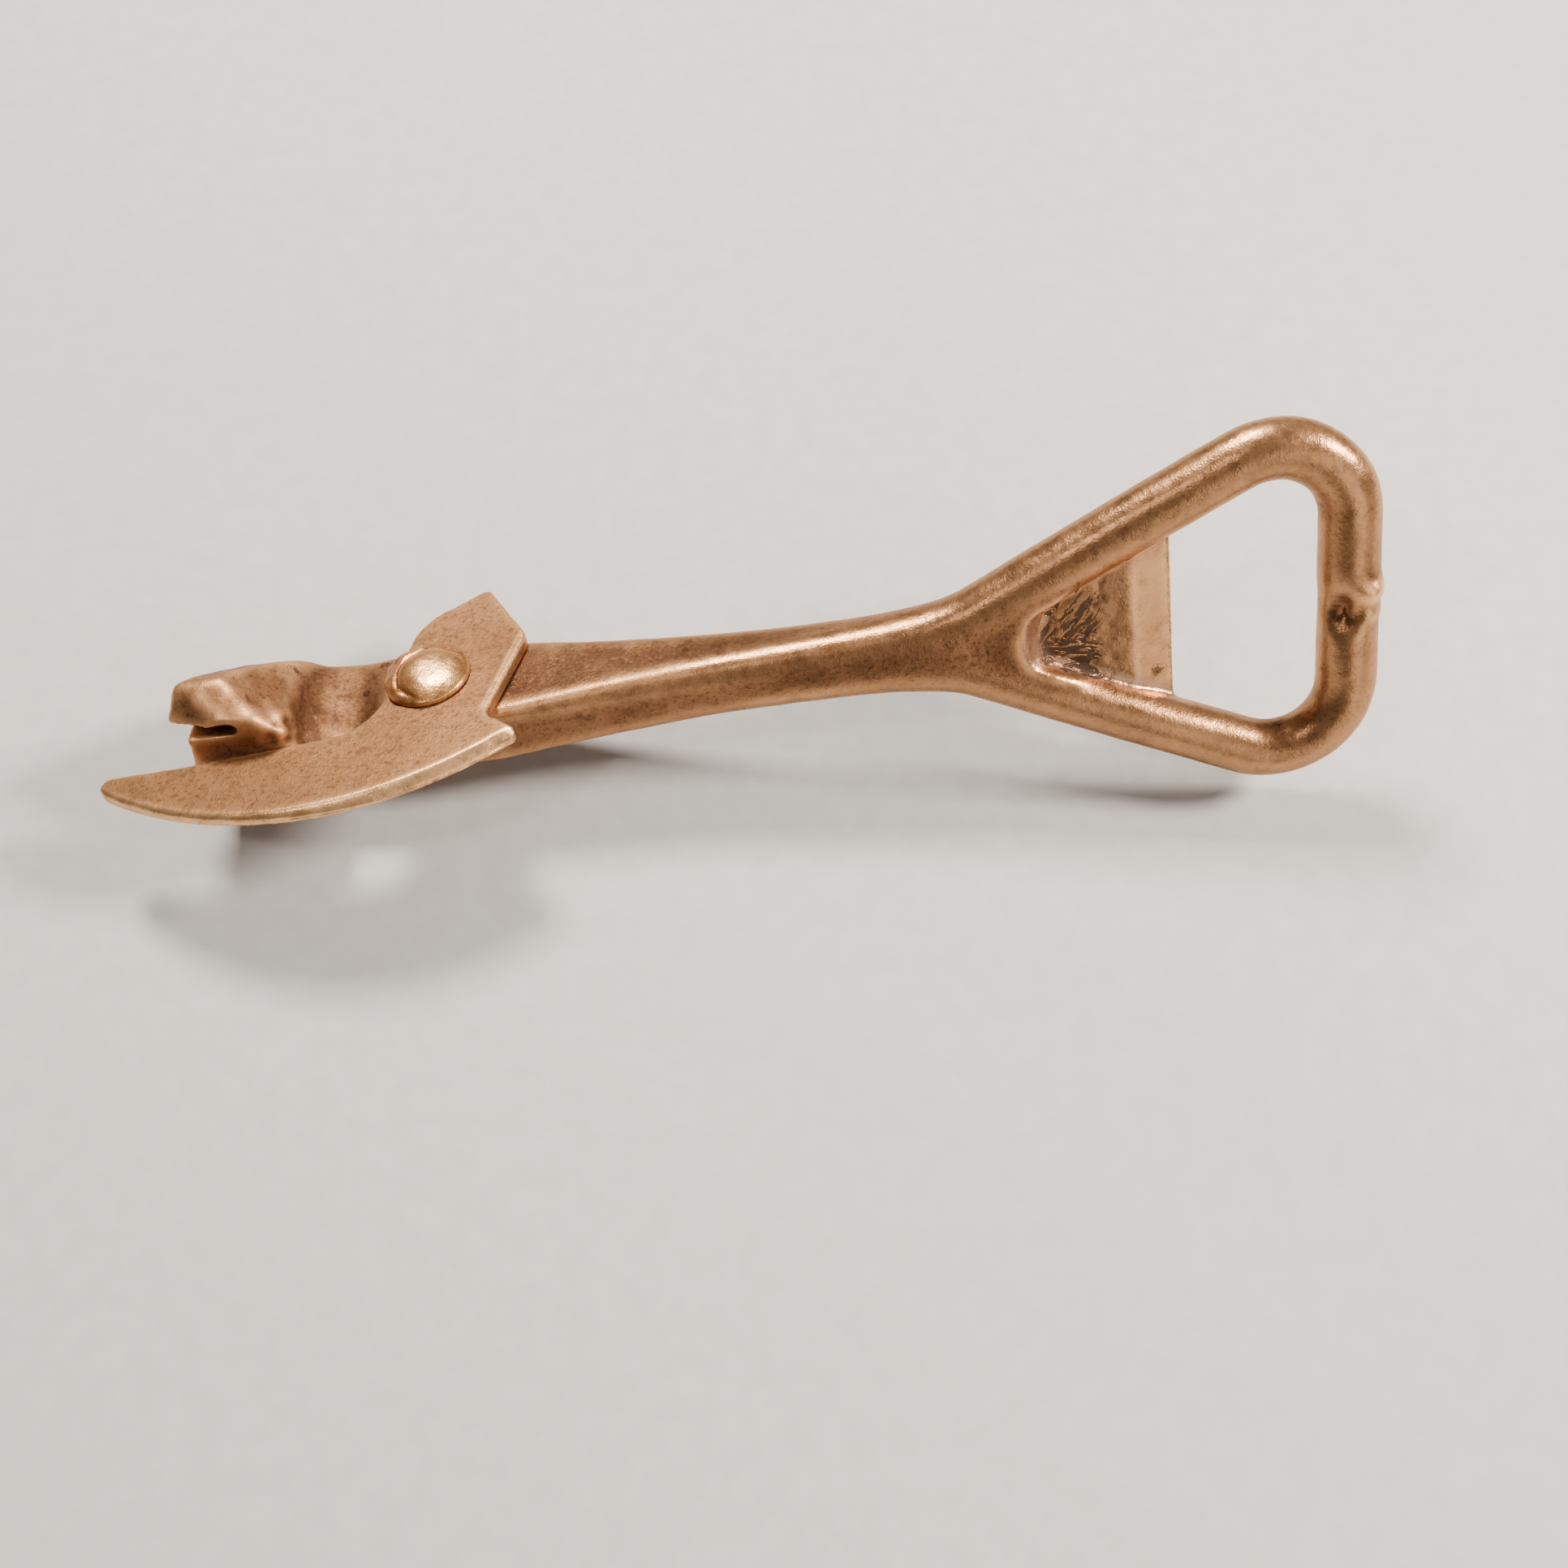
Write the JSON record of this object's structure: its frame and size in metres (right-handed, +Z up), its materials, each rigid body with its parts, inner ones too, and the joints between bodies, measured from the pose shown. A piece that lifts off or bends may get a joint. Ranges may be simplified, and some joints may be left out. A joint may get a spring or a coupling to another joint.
{
  "type": "bottle and can opener",
  "caption": "Forged steel hand opener: triangular loop with a crown-cap lip, slim shank, and a head with a rim slot and a riveted crescent can blade.",
  "frame": {"origin": "centre of the bounding box's bottom face, on the table that the opener lies on", "axes": "+X along the handle from the blade's tip to the loop's end bar, +Z up, +Y away from the side that the blade's cutting edge is on"},
  "size_m": [0.1526, 0.0338, 0.0427],
  "materials": {
    "forged_steel": "worn semi-gloss forged steel with traces of plating",
    "blade_steel": "worn satin sheet steel",
    "rivet_steel": "hammered and polished by handling"
  },
  "bodies": {
    "root": {"forged_handle": "forged_steel", "can_blade": "blade_steel", "blade_rivet": "rivet_steel"}
  },
  "joints": []
}
